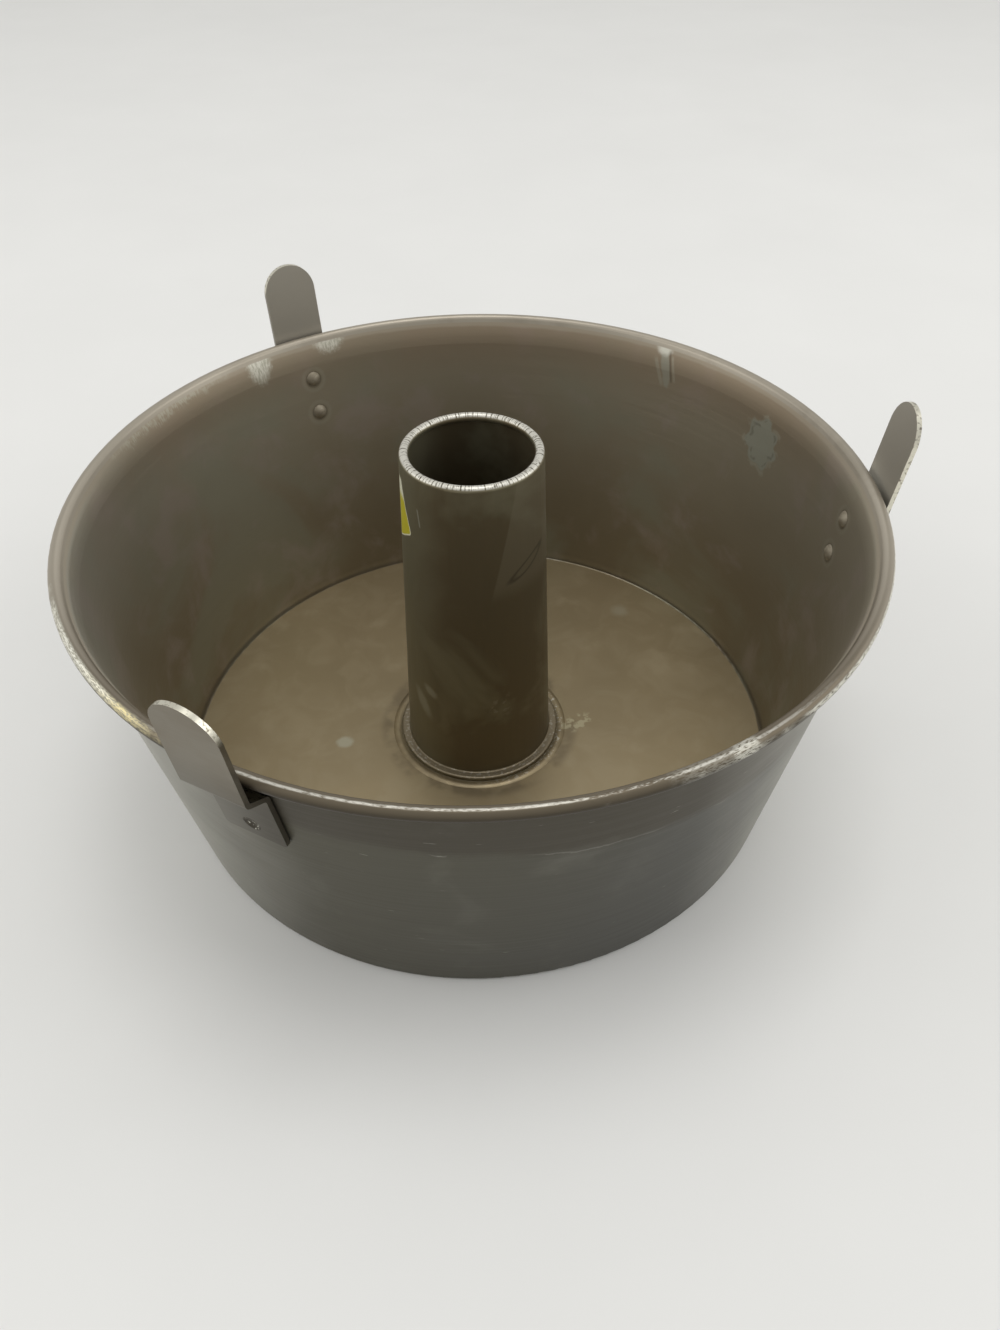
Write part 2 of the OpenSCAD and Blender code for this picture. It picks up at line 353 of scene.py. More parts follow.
# %% How a piece gets its finish
def dress(material, *nodes):
    """Gives CAD nodes a finish in place of their plain one."""
    for name in nodes:
        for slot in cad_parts[name].material_slots:
            slot.material = material
    print(material.name, "is on", ", ".join(nodes))


# %% [markdown]
# The floor and the light.
# The pan stands on a plain pale floor with a plain pale shade all round, so nearly everything that
# the metal can mirror is pale. The world is that shade: the camera and the mirrors see its colour,
# and the strength of its light is set apart from what they see. Three large soft lamps, above and
# at both sides, give the metal its long soft highlights. Small lamps would be brighter for their
# size, but bent metal shows each one as a hard white line.

# %% Make the floor that the pan stands on
GROUND_SIZE = 40.0
GROUND_GREY = (0.69, 0.687, 0.673, 1.0)
GROUND_PALE = (0.73, 0.727, 0.713, 1.0)
GROUND_ROUGHNESS = 0.75
GROUND_BUMPS = 0.02


def pale_floor():
    """A wide plain floor that takes the pan's shadow."""
    shape = bmesh.new()
    bmesh.ops.create_grid(shape, x_segments=1, y_segments=1, size=GROUND_SIZE / 2)
    mesh = bpy.data.meshes.new("floor")
    shape.to_mesh(mesh)
    shape.free()
    floor = bpy.data.objects.new("floor", mesh)
    bpy.context.scene.collection.objects.link(floor)
    paint = Finish("floor_paint")
    colour = paint.mix(paint.noise(90.0, seed=2.0), GROUND_GREY, GROUND_PALE)
    grain = paint.relief(paint.noise(1.2, seed=5.0), GROUND_BUMPS)
    mesh.materials.append(paint.finish(colour, GROUND_ROUGHNESS, grain, metal=0.0))


pale_floor()

# %% Make the world and the lamps
PALE_GREY = (0.62, 0.62, 0.605, 1.0)
GREY_LIGHT = 1.2
LAMP_SIZE = 1.0
LAMPS = (
    ("lamp_above", (0.10, 0.16, 2.40), 12.5),
    ("lamp_left", (-1.25, -0.10, 0.85), 4.5),
    ("lamp_right", (1.25, -0.05, 0.85), 5.2),
)


def pale_world():
    """A pale surrounding, seen at its colour and giving a soft light."""
    world = bpy.data.worlds.new("pale_world")
    world.use_nodes = True
    tree = world.node_tree
    background = tree.nodes["Background"]
    background.inputs["Color"].default_value = PALE_GREY
    path = tree.nodes.new("ShaderNodeLightPath")
    looking = path.outputs["Is Camera Ray"]
    for ray in ("Is Glossy Ray", "Is Transmission Ray"):
        joined = tree.nodes.new("ShaderNodeMath")
        joined.operation = "MAXIMUM"
        feed(joined.inputs[0], looking)
        feed(joined.inputs[1], path.outputs[ray])
        looking = joined.outputs[0]
    level = tree.nodes.new("ShaderNodeMapRange")
    feed(level.inputs["Value"], looking)
    level.inputs["To Min"].default_value = GREY_LIGHT
    level.inputs["To Max"].default_value = 1.0
    feed(background.inputs["Strength"], level.outputs[0])
    bpy.context.scene.world = world


def soft_lamp(name, place, power):
    """A large square lamp at a place, aimed at the middle of the pan."""
    data = bpy.data.lights.new(name, "AREA")
    data.shape = "SQUARE"
    data.size = LAMP_SIZE
    data.energy = power
    lamp = bpy.data.objects.new(name, data)
    middle = Vector((0, 0, PAN_H * MM / 2))
    lamp.location = Vector(place)
    lamp.rotation_euler = (middle - lamp.location).to_track_quat("-Z", "Y").to_euler()
    bpy.context.scene.collection.objects.link(lamp)


pale_world()
for name, place, power in LAMPS:
    soft_lamp(name, place, power)
print("floor, world and", len(bpy.data.lights), "lamps")

# %% [markdown]
# The shell.
# Spun aluminium starts bright. Baking turns it olive and brown, and washing turns it grey, so the
# inside, the flare under the rim, the rolled bead and the outside each have their own colour. One
# material can hold all four, because a point's height, its distance from the axis and the way that
# it faces tell which zone it is in. Four materials on four groups of faces would do as well, but
# then each zone would end in a hard line. Each zone has short functions of its own. They take the
# paint and a colour and give back a colour, and the last function puts the zones together.

# %% Shades of bare and stained metal used in several places; the dark one is also painted shade
BARE_GREY = seen(186, 184, 168)
BARE_WHITE = seen(226, 224, 212)
STAIN_GREY = seen(172, 176, 164)
DARK_LINE_AND_SHADE = seen(58, 52, 42)
SILVER_WEAR_AND_HIGHLIGHT = seen(216, 213, 203)
print("bare metal mirrors", [round(part, 2) for part in BARE_WHITE[:3]], "of red, green and blue")

# %% The inside wall of the shell
WALL_BROWN = seen(137, 127, 106)
WALL_OLIVE = seen(157, 149, 131)
WALL_GREEN = seen(151, 151, 134)
WALL_PLUM = seen(168, 156, 146)
WALL_SHEEN = seen(184, 180, 171)
RIM_BROWN = seen(150, 131, 109)
FLARE_TAN = seen(168, 158, 141)
CORNER_TAN = seen(186, 174, 148)
BROWN_TO_OLIVE = (5.0, 85.0)
CORNER_HEIGHTS = (6.0, 3.0)
RIM_HEIGHTS = (80.0, 103.0)
FRONT_TO_BACK = (-20.0, 60.0)
FLARE_HEIGHTS = (103.4, 104.4)
SHEEN_H = 98.0
SHEEN_PLACES = ((205.0, (70.0, 26.0), 0.42), (338.0, (55.0, 22.0), 0.15))


def wall_colour(paint, stain, cloud):
    """Brown low on the wall and olive above, with green and plum clouds and a lighter corner."""
    lift = paint.step(paint.wander(paint.z, stain, 30.0), *BROWN_TO_OLIVE)
    colour = paint.mix(lift, WALL_BROWN, WALL_OLIVE)
    colour = paint.tint(colour, WALL_GREEN, paint.step(stain, 0.45, 0.62), share=0.6)
    colour = paint.tint(colour, WALL_PLUM, paint.step(cloud, 0.5, 0.7), share=0.6)
    return paint.tint(colour, CORNER_TAN, paint.step(paint.z, *CORNER_HEIGHTS), share=0.2)


def rim_colour(paint, colour, cloud):
    """Browner under the rim at the back, with painted pale reflections in front, and tan on the flare.
    """
    behind = paint.step(paint.y, *FRONT_TO_BACK)
    behind = paint.times(behind, paint.step(paint.z, *RIM_HEIGHTS))
    colour = paint.tint(colour, RIM_BROWN, behind, share=0.6)
    # Painted reflection: the inner wall at the front left and front right is seen at a grazing angle,
    # so it is paler.
    for azimuth, half, share in SHEEN_PLACES:
        sheen = paint.patch(azimuth, SHEEN_H, half, soft=0.8, grain=20.0)
        colour = paint.tint(colour, WALL_SHEEN, sheen, share)
    edge = paint.wander(paint.z, cloud, 0.8)
    return paint.tint(colour, FLARE_TAN, paint.step(edge, *FLARE_HEIGHTS), share=0.7)


print(f"the wall turns to the tan of the flare at {FLARE_HEIGHTS[0]} mm")

# %% [markdown]
# Marks on the inside wall.
# Scrubbing, wet fingers and splashes have left marks in the brown skin. They could be painted on a
# picture and wrapped round the wall. Here each one is an oval or a stroke at an azimuth and a
# height, because a mark that is a few numbers is easy to move, and it is sharp from any distance.

# %% Scrubbed places on the inside wall
SCRUBBED_LEFT = (129.6, 105.8, (4.8, 8.0))
SCRUBBED_MIDDLE = (115.8, 106.4, (5.6, 5.0))
SCRUBBED_RIM = (152.0, 106.0, (26.0, 3.5))


def scrubbed_patches(paint, colour):
    """Places under the rim where the brown skin has been scrubbed off in short streaks."""
    streaks = paint.noise((0.7, 0.7, 9.0), seed=6.0, detail=3.0)
    bare = paint.mix(paint.step(streaks, 0.35, 0.6), BARE_GREY, BARE_WHITE)
    left = paint.patch(*SCRUBBED_LEFT, slant=-0.1, ragged=0.35, grain=1.5)
    middle = paint.patch(*SCRUBBED_MIDDLE, ragged=0.35, grain=1.2)
    rim = paint.patch(*SCRUBBED_RIM, ragged=0.8, grain=5.0)
    rim = paint.times(rim, paint.step(streaks, 0.4, 0.6))
    colour = paint.tint(colour, bare, left, share=0.85)
    colour = paint.tint(colour, bare, middle, share=0.75)
    return paint.tint(colour, BARE_GREY, rim, share=0.5)


print("scrubbed at", SCRUBBED_LEFT[0], "and", SCRUBBED_MIDDLE[0], "degrees")

# %% The mark of a wet thumb on the inside wall
THUMB_AZIMUTH = 51.5
THUMB_TIP = ((0.4, 105.2), (2.8, 2.4))
THUMB_STEM = ((-1.4, 98.5), (1.9, 7.6))
THUMB_LEFT_LINE = ((3.3, 101.0), (-1.0, 91.5), 1.3)
THUMB_DARK_LINE = ((-2.0, 104.5), (-4.9, 93.5), 0.8)
THUMB_RIGHT_LINE = ((-3.5, 103.0), (-6.2, 94.0), 0.9)


def thumb_mark(paint, colour):
    """A pale tip and stem, with thin lines on both sides where the water dried."""
    sideways, side = paint.across(THUMB_AZIMUTH)
    tip = paint.oval(sideways, paint.z, *THUMB_TIP, soft=0.5, grain=1.5)
    stem = paint.oval(sideways, paint.z, *THUMB_STEM, slant=0.27, soft=0.2)
    left = paint.stroke(sideways, paint.z, *THUMB_LEFT_LINE)
    dark = paint.stroke(sideways, paint.z, *THUMB_DARK_LINE)
    right = paint.stroke(sideways, paint.z, *THUMB_RIGHT_LINE)
    colour = paint.tint(colour, STAIN_GREY, paint.times(side, stem), share=0.5)
    colour = paint.tint(colour, BARE_WHITE, paint.times(side, tip), share=0.8)
    lines = paint.times(side, paint.either(right, left))
    colour = paint.tint(colour, BARE_GREY, lines, share=0.35)
    return paint.tint(colour, DARK_LINE_AND_SHADE, paint.times(side, dark), share=0.35)


print("the thumb's mark is at", THUMB_AZIMUTH, "degrees")

# %% A dried splash on the inside wall
SPLASH_AZIMUTH = 27.0
SPLASH_H = 88.0
SPLASH_HALF = (8.4, 9.4)
SPLASH_LOBES = 7.0
SPLASH_LOBE_DEPTH = 0.12


def splash_mark(paint, colour):
    """A smooth grey middle with a lobed edge, dark inside the edge and pale on it."""
    sideways, side = paint.across(SPLASH_AZIMUTH)
    away = paint.away(sideways, paint.z, (0.0, SPLASH_H), SPLASH_HALF, slant=0.1)
    turn = paint.sum("ARCTAN2", paint.less(paint.z, SPLASH_H), sideways)
    waves = paint.sum("SINE", paint.times(turn, SPLASH_LOBES))
    away = paint.add(away, paint.times(waves, SPLASH_LOBE_DEPTH))
    away = paint.wander(away, paint.noise(4.0, seed=52.0), 0.18)
    middle = paint.times(side, paint.step(away, 1.0, 0.85))
    patchy = paint.step(paint.noise(3.5, seed=55.0, detail=1.0), 0.45, 0.6)
    patchy = paint.times(side, patchy)
    dark = paint.times(paint.band(away, 0.72, 0.8, 0.1), patchy)
    pale = paint.times(paint.band(away, 0.95, 1.1, 0.1), patchy)
    colour = paint.tint(colour, STAIN_GREY, middle, share=0.7)
    colour = paint.tint(colour, BARE_GREY, pale, share=0.5)
    return paint.tint(colour, DARK_LINE_AND_SHADE, dark, share=0.5)


print(f"the splash is {2 * SPLASH_HALF[0]:.1f} mm wide and {SPLASH_H:.0f} mm up")

# %% [markdown]
# Painted shade round the rivets.
# Each rivet's head stands in a fine dark ring, which is painted shade in the crack beside it. All
# three feet have it alike, so the turn about the axis is folded into one third, and two rings in
# that third do for six rivets.

# %% Where the rivets are, and the painted shade round them
FEET = ("right", "back_left", "front_left")
CRACK_SHADE = (0.8, 0.1)
PALE_RING = (0.9, 2.2)


def rivet_place(end):
    """The height of one row of rivets and the radius of their widest part, in millimetres."""
    low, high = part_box(f"right_foot_{end}_rivet")
    return (low.z + high.z) / 2 / MM, high.y / MM


UPPER_H, RIVET_R = rivet_place("upper")
LOWER_H, _ = rivet_place("lower")
print(f"rivets at {LOWER_H:.1f} and {UPPER_H:.1f} mm, {2 * RIVET_R:.1f} mm across")


def rivet_marks(paint, colour):
    """Painted shade in the crack round each rivet's head, and a faint lighter ring round it."""
    share = math.pi / len(FEET)
    folded = paint.times(paint.sum("WRAP", paint.angle, share, -share), paint.radius)
    for height in (UPPER_H, LOWER_H):
        away = paint.less(paint.away(folded, paint.z, (0.0, height), (1.0, 1.0)), RIVET_R)
        colour = paint.tint(colour, BARE_GREY, paint.band(away, *PALE_RING, 0.7), share=0.2)
        # Painted shade in the crack beside each head.
        colour = paint.tint(colour, DARK_LINE_AND_SHADE, paint.step(away, *CRACK_SHADE), share=0.35)
    return colour


# %% [markdown]
# The outside wall.
# The outside is darker than the inside. It is brown above a line where dishwater stood, and grey
# below it. Its flanks carry a painted pale reflection of the bright surroundings, and a painted
# shadow lies under the bead. The line would look drawn if it were straight, so two patterns push
# it up and down.

# %% The outside wall of the shell
OUTSIDE_BROWN = seen(75, 70, 59)
OUTSIDE_GREEN = seen(87, 84, 71)
OUTSIDE_BLUE = seen(84, 83, 77)
OUTSIDE_PALE = seen(174, 172, 163)
GREEN_TO_BLUE = (-60.0, 80.0)
WATER_LINE = (79.9, 80.3)
WATER_EDGE = (77.5, 82.5)
WATER_SLOPE = 0.067
FLANK_REFLECTION = (50.0, 106.0)
FLANK_REFLECTION_MIDDLE = 5.0
UNDER_BEAD_SHADOW = (100.5, 103.5)


def outside_colour(paint, stain, cloud):
    """Brown above an old water line and grey below it, greenish on the left and bluish on the right."""
    sidelong = paint.step(paint.wander(paint.x, stain, 50.0), *GREEN_TO_BLUE)
    lower = paint.mix(sidelong, OUTSIDE_GREEN, OUTSIDE_BLUE)
    level = paint.add(paint.z, paint.times(paint.x, WATER_SLOPE))
    level = paint.wander(paint.wander(level, stain, 1.5), cloud, 4.0)
    colour = paint.mix(paint.step(level, *WATER_EDGE), lower, OUTSIDE_BROWN)
    line = paint.times(paint.band(level, *WATER_LINE, 0.3), paint.step(cloud, 0.46, 0.6))
    colour = paint.tint(colour, OUTSIDE_PALE, line, share=0.3)
    return paint.tint(colour, OUTSIDE_PALE, paint.step(cloud, 0.5, 0.8), share=0.12)


def outside_sheen_shadow_and_nicks(paint, colour, stain, cloud):
    """Painted pale reflections at the sides, a painted shadow under the bead, and small nicks all over.
    """
    # Painted reflection of the bright surroundings on the flanks, broken up by clouds.
    sideways = paint.wander(paint.from_zero(paint.less(paint.x, FLANK_REFLECTION_MIDDLE)), stain, 18.0)
    clouded = paint.scale(paint.step(cloud, 0.66, 0.38), 0.82, 0.95)
    flank_reflection = paint.times(paint.step(sideways, *FLANK_REFLECTION), clouded)
    colour = paint.mix(flank_reflection, colour, OUTSIDE_PALE)
    # Painted shadow under the curl of the bead.
    colour = paint.tint(colour, DARK_LINE_AND_SHADE, paint.step(paint.z, *UNDER_BEAD_SHADOW), share=0.75)
    nicks = paint.noise((5.0, 5.0, 0.6), seed=61.0, detail=1.0, rough=0.4)
    return paint.tint(colour, BARE_WHITE, paint.step(nicks, 0.77, 0.82), share=0.22)


print(f"the water line outside is {WATER_LINE[0]} mm up in the middle of the front")

# %% [markdown]
# The rolled bead.
# The bead is where hands and racks touch the pan, so it is rubbed back to bare metal in short
# streaks. The silver along its top in front is also a painted highlight, and its lower side in
# front and underneath carries painted shade. The way that a point faces tells how far round the
# roll it is. The streaks are noise that is drawn out along the rim, which needs a place that
# follows the rim round.

# %% The rolled bead
BEAD_TAN = seen(166, 158, 144)
BEAD_BROWN = seen(104, 95, 80)
BEAD_FRONT = (-20.0, -105.0)


def bead_colour(paint, cloud):
    """Tan like the flare, browner underneath, and browner in front as painted shade, with more painted
    shade on its lower side in front and where it turns under.
    """
    front = paint.step(paint.y, *BEAD_FRONT)
    under = paint.times(paint.step(paint.nz, 0.5, -0.1), paint.step(paint.outward, -0.2, 0.3))
    brown = paint.either(under, paint.times(paint.step(cloud, 0.5, 0.7), 0.2))
    colour = paint.mix(paint.either(brown, front), BEAD_TAN, BEAD_BROWN)
    # Painted shade: the lower side of the bead in front, and its underside all round.
    dark = paint.times(front, paint.step(paint.nz, 0.75, 0.0))
    dark = paint.either(dark, paint.step(paint.nz, -0.3, -0.75))
    return paint.tint(colour, DARK_LINE_AND_SHADE, dark, share=0.8)


print(f"the bead is {2 * BEAD_R:.0f} mm thick and {2 * RIM_R:.0f} mm across")

# %% Where the bead is rubbed bare, and where a highlight is painted on it
WORN_YELLOW = seen(222, 208, 158)
CROWN_HIGHLIGHT_WIDTH = (100.0, 60.0)
CROWN_HIGHLIGHT_FORWARD = (20.0, -120.0)
HELD_LEFT = (217.0, 106.0, (30.0, 5.0))
BRIGHT_EDGE_RIGHT = (337.0, 106.0, (66.0, 8.0))
YELLOWED = (-104.0, -88.0)
KNOCK = (299.5, 106.5, (3.8, 3.4))
KNOCK_SHARE = 0.6
ROUND_KNOCK = (296.0, 106.5, (12.0, 4.0))
ROUND_KNOCK_SHARE = 0.18
STREAKED = (0.36, 0.55)


def crown_wear_and_highlight(paint, colour, broken):
    """Silver in broken runs along the top of the bead, most of it in front: rubbed metal and a painted
    highlight.
    """
    # Wear and painted highlight: the silver is kept to the part of the top that faces the lamp and the
    # camera.
    crown = paint.times(paint.step(paint.nz, 0.9, 0.98), paint.step(paint.outward, -0.15, 0.1))
    crown = paint.times(crown, paint.step(broken, 0.78, 1.1))
    middle = paint.step(paint.from_zero(paint.x), *CROWN_HIGHLIGHT_WIDTH)
    forward = paint.scale(paint.step(paint.y, *CROWN_HIGHLIGHT_FORWARD), 0.05, 0.75)
    crown = paint.times(crown, paint.times(middle, forward))
    return paint.mix(crown, colour, SILVER_WEAR_AND_HIGHLIGHT)


def edge_streaks_and_held_place(paint, colour, streaks, runs):
    """Bright streaks on the outer edge at the right, and where hands hold the pan at the left, a little
    yellow at the far left.
    """
    left = paint.patch(*HELD_LEFT, ragged=0.7, grain=9.0)
    outer = paint.times(paint.step(paint.nz, -0.1, 0.4), paint.step(paint.outward, 0.0, 0.5))
    left = paint.times(left, outer)
    brink = paint.times(paint.band(paint.nz, -0.1, 0.6, 0.15), paint.step(paint.outward, 0.3, 0.6))
    right = paint.patch(*BRIGHT_EDGE_RIGHT, soft=0.4, ragged=0.7, grain=12.0)
    right = paint.times(paint.times(brink, right), paint.step(streaks, *STREAKED))
    colour = paint.mix(right, colour, BARE_WHITE)
    colour = paint.tint(colour, BARE_GREY, left, share=0.5)
    yellow = paint.step(paint.wander(paint.x, runs, 12.0), *YELLOWED)
    rubbed = paint.mix(yellow, BARE_WHITE, WORN_YELLOW)
    return paint.mix(paint.times(left, paint.step(streaks, 0.38, 0.58)), colour, rubbed)


def worn_bead(paint, colour):
    """The bead's streaks: along the top, at both sides, and in one knocked place in front."""
    round_it = paint.turned(RIM_R)
    streaks = paint.noise((1.4, 0.3, 0.3), seed=71.0, detail=4.0, place=round_it)
    runs = paint.noise((16.0, 4.0, 4.0), seed=73.0, detail=3.0, place=round_it)
    colour = crown_wear_and_highlight(paint, colour, paint.add(streaks, runs))
    colour = edge_streaks_and_held_place(paint, colour, streaks, runs)
    around = paint.patch(*ROUND_KNOCK, ragged=0.5, grain=3.0)
    around = paint.times(around, ROUND_KNOCK_SHARE)
    knock = paint.times(paint.patch(*KNOCK, ragged=0.5, grain=3.0), KNOCK_SHARE)
    white = paint.times(paint.either(knock, around), paint.step(streaks, *STREAKED))
    return paint.mix(white, colour, BARE_WHITE)


print("the bead is knocked at", KNOCK[0], "degrees")

# %% Put the shell's zones together
BEAD_BLEND = (0.45, 0.2)
WALL_BLEND = (-0.2, 0.2)
FLARED = (95.0, 104.0)
FILMED = (102.0, 104.0)
FILM_FRONT = (50.0, -20.0)
FILM_METAL = 0.35
SHELL_ROUGHNESS = (0.36, 0.52)
FLARE_ROUGHER = 0.1
SHELL_BUMPS = 0.02


def shell_metal(paint):
    """How metallic the shell is: less on the inside of the flare in front, under a film of fat."""
    filmed = paint.times(paint.step(paint.z, *FILMED), paint.step(paint.outward, 0.0, -0.3))
    filmed = paint.times(filmed, paint.step(paint.y, *FILM_FRONT))
    return paint.scale(filmed, METAL, FILM_METAL)


def shell_finish():
    """The finish of the shell: inside, flare, bead and outside."""
    paint = Finish("spun_aluminium_shell")
    stain = paint.noise(70.0, seed=1.0, detail=4.0, warp=0.6)
    cloud = paint.noise(24.0, seed=4.0, detail=5.0, warp=0.4)
    turning = paint.noise((60.0, 60.0, 0.8), seed=3.0, detail=3.0)

    inside = rim_colour(paint, wall_colour(paint, stain, cloud), cloud)
    inside = scrubbed_patches(paint, inside)
    inside = thumb_mark(paint, inside)
    inside = splash_mark(paint, inside)
    outside = outside_sheen_shadow_and_nicks(paint, outside_colour(paint, stain, cloud), stain, cloud)
    colour = paint.mix(paint.step(paint.outward, *WALL_BLEND), inside, outside)
    colour = rivet_marks(paint, colour)
    from_middle = paint.away(paint.radius, paint.z, (BEAD_MIDDLE_R, BEAD_MIDDLE_H), (1.0, 1.0))
    bead = paint.step(paint.less(from_middle, BEAD_R), *BEAD_BLEND)
    colour = paint.mix(bead, colour, worn_bead(paint, bead_colour(paint, cloud)))

    flared = paint.times(paint.step(paint.z, *FLARED), paint.less(1.0, bead))
    roughness = paint.scale(turning, *SHELL_ROUGHNESS)
    roughness = paint.add(roughness, paint.times(flared, FLARE_ROUGHER))
    bumps = paint.relief(paint.add(turning, paint.times(cloud, 0.6)), SHELL_BUMPS)
    return paint.finish(colour, roughness, bumps, shell_metal(paint))


dress(shell_finish(), "pan_shell")

# %% [markdown]
# The floor of the pan.
# It is the same sheet, but it lies flat under every cake, so it is the lightest and most blotched
# of the baked faces. Crumbs of old sugar stick beside the ring that is pressed up round the tube.
# Blotches from three patterns are laid over each other, because the stains of many cakes overlap.
# One pattern alone looks like printed cloth. Fine rings about the axis are left from the lathe.

# %% The colour of the pan's floor
FLOOR_TAN = seen(162, 147, 117)
FLOOR_OLIVE = seen(150, 136, 108)
FLOOR_PALE = seen(173, 160, 133)
BACK_TO_FRONT = (70.0, -70.0)


def floor_colour(paint, stain, cloud):
    """Blotched tan, a little lighter towards the front than at the back."""
    ahead = paint.step(paint.wander(paint.y, stain, 70.0), *BACK_TO_FRONT)
    colour = paint.mix(ahead, FLOOR_OLIVE, FLOOR_TAN)
    blotch = paint.step(paint.noise(16.0, seed=15.0, detail=3.0, warp=1.0), 0.4, 0.7)
    colour = paint.tint(colour, FLOOR_PALE, blotch, share=0.3)
    return paint.tint(colour, FLOOR_PALE, paint.step(cloud, 0.55, 0.75), share=0.4)


print("the floor's tan is", [round(part, 2) for part in FLOOR_TAN[:3]], "as light")

# %% Marks on the pan's floor
CRUMB = seen(206, 199, 168)
CRUMB_GREY = seen(168, 155, 127)
DROP_GREY = seen(186, 184, 166)
RING_DARK = seen(96, 85, 68)
RING_IN, RING_OUT = 30.0, 30.6
DARKER_RING = (30.0, 37.0)
SPECKED_RING = (28.6, 31.6)
SPECKED_SIDE = (-10.0, 25.0)
CRUMB_HEAP = ((36.6, -2.0), (5.6, 4.6))
DROP = ((-51.1, -7.6), (3.0, 2.6))
SMUDGE = ((62.0, 63.0), (3.2, 3.4))


def ring_marks(paint, colour):
    """Darker round the raised ring, dull metal inside it, and grains of sugar on its right side."""
    # Patchy darker band round the raised ring.
    dirt = paint.band(paint.radius, *DARKER_RING, 2.0)
    dirt = paint.times(dirt, paint.step(paint.noise(14.0, seed=16.0), 0.4, 0.6))
    colour = paint.tint(colour, RING_DARK, dirt, share=0.45)
    inside = paint.step(paint.radius, RING_OUT, RING_IN)
    colour = paint.tint(colour, CRUMB_GREY, inside, share=0.5)
    edge = paint.band(paint.radius, *SPECKED_RING, 0.6)
    specks = paint.times(paint.crumbs(), paint.step(paint.x, *SPECKED_SIDE))
    return paint.tint(colour, BARE_WHITE, paint.times(edge, specks), share=0.6)


def floor_marks(paint, colour):
    """A small heap of crumbs at the tube, a dried drop, and a smudge."""
    lumps = paint.step(paint.noise(2.6, seed=19.0, detail=2.0), 0.48, 0.6)
    heap = paint.times(lumps, paint.oval(paint.x, paint.y, *CRUMB_HEAP, slant=0.7))
    colour = paint.tint(colour, CRUMB, heap, share=0.5)
    drop = paint.oval(paint.x, paint.y, *DROP, ragged=0.25, grain=2.0)
    colour = paint.tint(colour, DROP_GREY, drop, share=0.65)
    smudge = paint.oval(paint.x, paint.y, *SMUDGE, soft=0.6)
    return paint.tint(colour, BARE_GREY, smudge, share=0.3)


print(f"the floor's metal is duller within {RING_IN:.0f} mm of the axis")

# %% Finish the pan's floor
RING_METAL = 0.6
FLOOR_ROUGHNESS = (0.36, 0.5)
FLOOR_BUMPS = 0.02


def floor_finish():
    """The finish of the flat floor."""
    paint = Finish("baked_aluminium_floor")
    stain = paint.noise(45.0, seed=11.0, detail=5.0, warp=0.8)
    cloud = paint.noise(14.0, seed=14.0, detail=5.0)
    rings = paint.rings(paint.radius, 1.1, seed=2.0)
    colour = ring_marks(paint, floor_colour(paint, stain, cloud))
    colour = floor_marks(paint, colour)
    roughness = paint.scale(cloud, *FLOOR_ROUGHNESS)
    bumps = paint.relief(paint.add(paint.times(rings, 0.5), cloud), FLOOR_BUMPS)
    metal = paint.scale(paint.step(paint.radius, RING_IN, RING_OUT), RING_METAL, METAL)
    return paint.finish(colour, roughness, bumps, metal)


dress(floor_finish(), "floor_disc")

# %% [markdown]
# The centre tube.
# The tube is the darkest piece, because its side mirrors the brown walls. Its rolled top is rubbed
# bright by every rack and shelf that the pan has cooled on upside down, in fine scratches that run
# across the roll. A scrap of plain yellow paper is stuck to the left side. It could be a thin
# sheet of its own, but paper that has been washed and baked on lies as flat as paint, so it is
# colour on the tube, with no shine.

# %% Marks on the tube
TUBE_PALE = seen(160, 153, 132)
PANEL_AZIMUTH = 315.0
PANEL_MIDDLE_H = 108.0
PANEL_SLANT = 0.23
PANEL_BORDER = (-7.6, -6.9)
PANEL_FOOT = (80.0, 88.0)
LOOP = ((91.6, 0.0), (2.0, 7.4))
SCRATCH_AZIMUTH = 222.0
SCRATCH = ((-0.4, 112.0), (0.6, 106.0), 0.5)
TUBE_SPOTS = ((219.0, 31.0, (2.7, 5.0)), (228.0, 38.5, (2.4, 2.2)))
TUBE_SPLASH = (286.0, 36.0, (4.0, 5.0))


def tube_panel(paint, colour):
    """A lighter slanted panel at the right, with a dark loop on it."""
    sideways, side = paint.across(PANEL_AZIMUTH)
    lean = paint.times(paint.less(paint.z, PANEL_MIDDLE_H), PANEL_SLANT)
    panel = paint.step(paint.less(sideways, lean), *PANEL_BORDER)
    panel = paint.times(panel, paint.step(paint.z, *PANEL_FOOT))
    colour = paint.tint(colour, TUBE_PALE, paint.times(side, panel), share=0.3)
    away = paint.away(paint.z, sideways, *LOOP, slant=0.5)
    loop = paint.times(side, paint.band(away, 0.75, 1.1, 0.2))
    return paint.tint(colour, DARK_LINE_AND_SHADE, loop, share=0.5)


def tube_marks(paint, colour):
    """A short scratch near the top, and pale spots and a splash near the foot."""
    sideways, side = paint.across(SCRATCH_AZIMUTH)
    scratch = paint.times(side, paint.stroke(sideways, paint.z, *SCRATCH))
    colour = paint.tint(colour, BARE_GREY, scratch, share=0.8)
    for place in TUBE_SPOTS:
        spot = paint.patch(*place, slant=-0.5, soft=0.5)
        colour = paint.tint(colour, BARE_GREY, spot, share=0.55)
    drops = paint.step(paint.noise(2.0, seed=27.0, detail=2.0), 0.52, 0.66)
    splash = paint.times(paint.patch(*TUBE_SPLASH, soft=0.6), drops)
    return paint.tint(colour, BARE_GREY, splash, share=0.25)


print("the tube's panel is at", PANEL_AZIMUTH, "degrees and its scratch at", SCRATCH_AZIMUTH)

